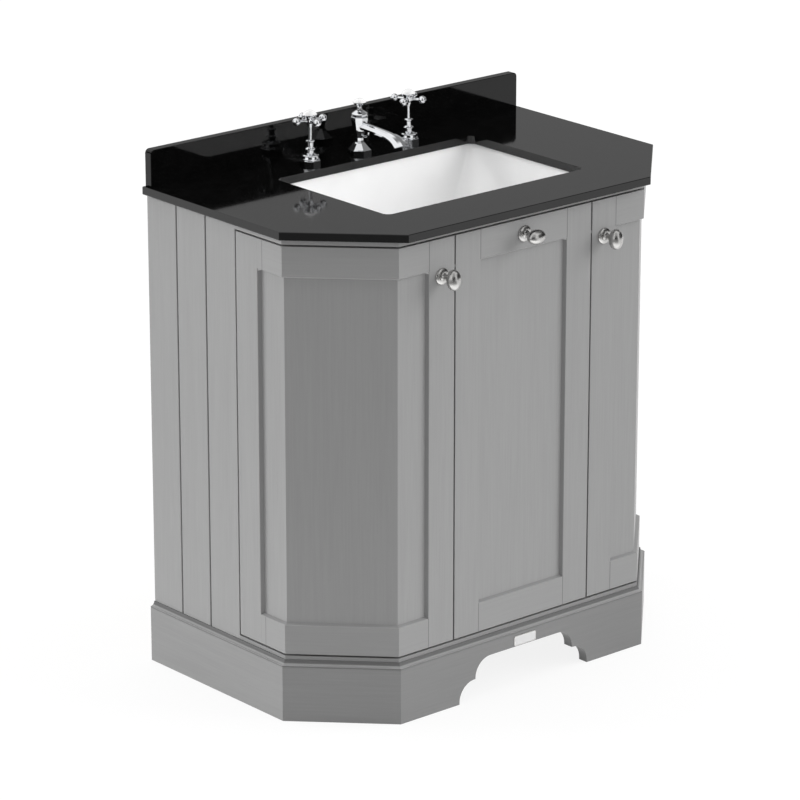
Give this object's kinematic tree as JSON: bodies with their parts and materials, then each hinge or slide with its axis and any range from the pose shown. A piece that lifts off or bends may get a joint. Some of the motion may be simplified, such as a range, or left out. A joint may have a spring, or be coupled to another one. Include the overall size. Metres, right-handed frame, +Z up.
{
  "type": "bathroom vanity unit",
  "caption": "Free-standing vanity unit with angled front corners, framed doors, stone top with upstand, undermount basin, spout with cross-handle taps and pop-up waste.",
  "frame": {"origin": "middle of the part's box, at the floor", "axes": "+Z up, +Y towards the wall behind the unit, -Y out through the doors, +X to the right as one faces the doors"},
  "size_m": [0.77, 0.4906, 0.873],
  "materials": {
    "painted_wood": "grey paint over fine upright grain, satin",
    "inner_wood": "clear matt lacquer",
    "black_stone": "polished granite",
    "basin_glaze": "white gloss glaze",
    "cap_glaze": "white gloss glaze",
    "polished_chrome": "mirror polish",
    "satin_nickel": "satin",
    "zinc_steel": "zinc plate",
    "brass_fittings": "machined",
    "copper_pipe": "bright drawn copper",
    "black_rubber": "matt"
  },
  "bodies": {
    "cabinet": {"worktop": "black_stone", "upstand": "black_stone", "basin": "basin_glaze", "basin_clips": "zinc_steel", "waste_body": "polished_chrome", "waste_washer": "black_rubber", "waste_nut": "polished_chrome", "lever_port_nut": "polished_chrome", "trap_nut": "polished_chrome", "trap_body": "polished_chrome", "trap_cup": "polished_chrome", "trap_outlet_pipe": "polished_chrome", "hot_valve_body": "polished_chrome", "cold_valve_body": "polished_chrome", "spout_body": "polished_chrome", "spout_tee": "brass_fittings", "tap_washers": "black_rubber", "tap_back_nuts": "brass_fittings", "link_pipes": "copper_pipe", "left_side_panel": "painted_wood", "right_side_panel": "painted_wood", "base_board": "painted_wood", "top_frame": "painted_wood", "left_partition": "inner_wood", "right_partition": "inner_wood", "upper_back_rail": "inner_wood", "lower_back_rail": "inner_wood", "shelves": "inner_wood", "shelf_pegs": "zinc_steel", "plinth_front": "painted_wood", "plinth_corners": "painted_wood", "plinth_sides": "painted_wood", "plinth_back_rail": "inner_wood", "corner_blocks": "inner_wood", "plinth_moulding": "painted_wood", "door_bumpers": "black_rubber", "corner_hinge_arms": "zinc_steel", "centre_hinge_arms": "zinc_steel", "hinge_plates": "zinc_steel"},
    "left_door": {"left_door_frame": "painted_wood", "left_door_panel": "painted_wood", "left_knob": "satin_nickel", "left_hinge_cups": "zinc_steel"},
    "centre_door": {"centre_door_frame": "painted_wood", "centre_door_panel": "painted_wood", "centre_knob": "satin_nickel", "centre_hinge_cups": "zinc_steel"},
    "right_door": {"right_door_frame": "painted_wood", "right_door_panel": "painted_wood", "right_knob": "satin_nickel", "right_hinge_cups": "zinc_steel"},
    "hot_handle": {"hot_handle": "polished_chrome", "hot_cap": "cap_glaze"},
    "cold_handle": {"cold_handle": "polished_chrome", "cold_cap": "cap_glaze"},
    "lift_rod": {"lift_rod": "polished_chrome", "lift_cap": "cap_glaze", "lift_strap": "zinc_steel"},
    "pivot_lever": {"pivot_lever": "polished_chrome"},
    "waste_plug": {"waste_plug": "polished_chrome"}
  },
  "joints": [
    {"name": "left_door_hinge", "type": "hinge", "parent": "cabinet", "child": "left_door", "pos_m": [-0.368, 0.01425, 0.434], "axis": [0, 0, -1], "range_deg": [0, 95]},
    {"name": "centre_door_hinge", "type": "hinge", "parent": "cabinet", "child": "centre_door", "pos_m": [0.127, -0.19875, 0.434], "axis": [0, 0, 1], "range_deg": [0, 95]},
    {"name": "right_door_hinge", "type": "hinge", "parent": "cabinet", "child": "right_door", "pos_m": [0.368, 0.01425, 0.434], "axis": [0, 0, 1], "range_deg": [0, 95]},
    {"name": "hot_handle_turn", "type": "hinge", "parent": "cabinet", "child": "hot_handle", "pos_m": [-0.102, 0.18225, 0.857], "axis": [0, 0, 1], "range_deg": [0, 90]},
    {"name": "cold_handle_turn", "type": "hinge", "parent": "cabinet", "child": "cold_handle", "pos_m": [0.102, 0.18225, 0.857], "axis": [0, 0, -1], "range_deg": [0, 90]},
    {"name": "lift_rod_slide", "type": "slide", "parent": "cabinet", "child": "lift_rod", "axis": [0, 0, 1], "range_m": [0, 0.035]},
    {"name": "pivot_lever_tilt", "type": "hinge", "parent": "cabinet", "child": "pivot_lever", "pos_m": [0, 0.03575, 0.582], "axis": [1, 0, 0], "range_deg": [0, 13.4]},
    {"name": "waste_plug_slide", "type": "slide", "parent": "cabinet", "child": "waste_plug", "axis": [0, 0, 1], "range_m": [-0.00585, 0]}
  ],
  "couplings": [
    {"joint": "pivot_lever_tilt", "follows": "lift_rod_slide", "rad_per_m": 6.68},
    {"joint": "waste_plug_slide", "follows": "lift_rod_slide", "ratio": -0.167}
  ]
}
